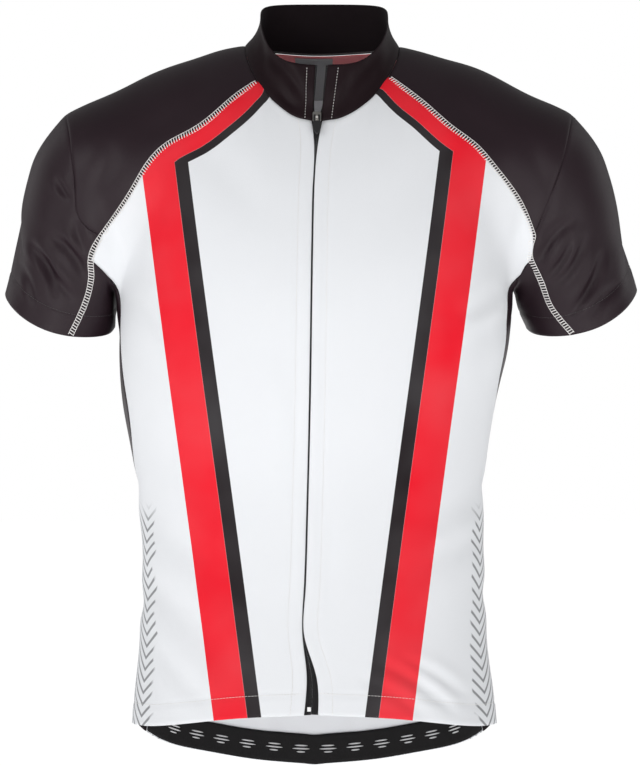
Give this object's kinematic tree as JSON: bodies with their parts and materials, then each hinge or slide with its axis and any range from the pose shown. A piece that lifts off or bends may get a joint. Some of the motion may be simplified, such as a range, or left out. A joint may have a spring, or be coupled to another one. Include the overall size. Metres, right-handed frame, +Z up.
{
  "type": "cycling jersey",
  "caption": "Short-sleeved cycling jersey in worn shape, with a stand collar, front zip, contrast shoulders and sleeves, back pockets and a dropped back hem.",
  "frame": {"origin": "middle of the base of the neck, at the height of the shoulder line beside the collar, where the wearer's shoulders hold it", "axes": "+Z up, the front faces -Y, +X is on the right in the front view"},
  "size_m": [0.6136, 0.248, 0.7578],
  "materials": {
    "knit_white": "fine knit, matt",
    "knit_black": "fine knit with a soft sheen",
    "tape_black": "woven tape, matt",
    "gripper": "elastic with silicone",
    "label_grey": "satin ribbon",
    "metal": "satin",
    "tab_rubber": "moulded, matt",
    "stop_white": "moulded",
    "thread_white": "polyester thread",
    "thread_black": "polyester thread",
    "teeth_black": "nylon coil"
  },
  "bodies": {
    "garment": {"front_left": "knit_white", "yoke_left": "knit_black", "sleeve_left": "knit_black", "gusset_left": "knit_black", "front_right": "knit_white", "yoke_right": "knit_black", "sleeve_right": "knit_black", "gusset_right": "knit_black", "back": "knit_white", "pocket_back": "knit_white", "hem_gripper": "gripper", "neck_label": "label_grey", "collar": "knit_black", "zip_tape_left": "tape_black", "zip_tape_right": "tape_black", "slider": "metal", "zip_stop": "stop_white"},
    "tab": {"pull_tab": "tab_rubber"}
  },
  "joints": [
    {"name": "tab_swing", "type": "hinge", "parent": "garment", "child": "tab", "pos_m": [-0.0015, -0.09096, -0.07426], "axis": [-1, 0, 0], "range_deg": [0, 150]}
  ]
}
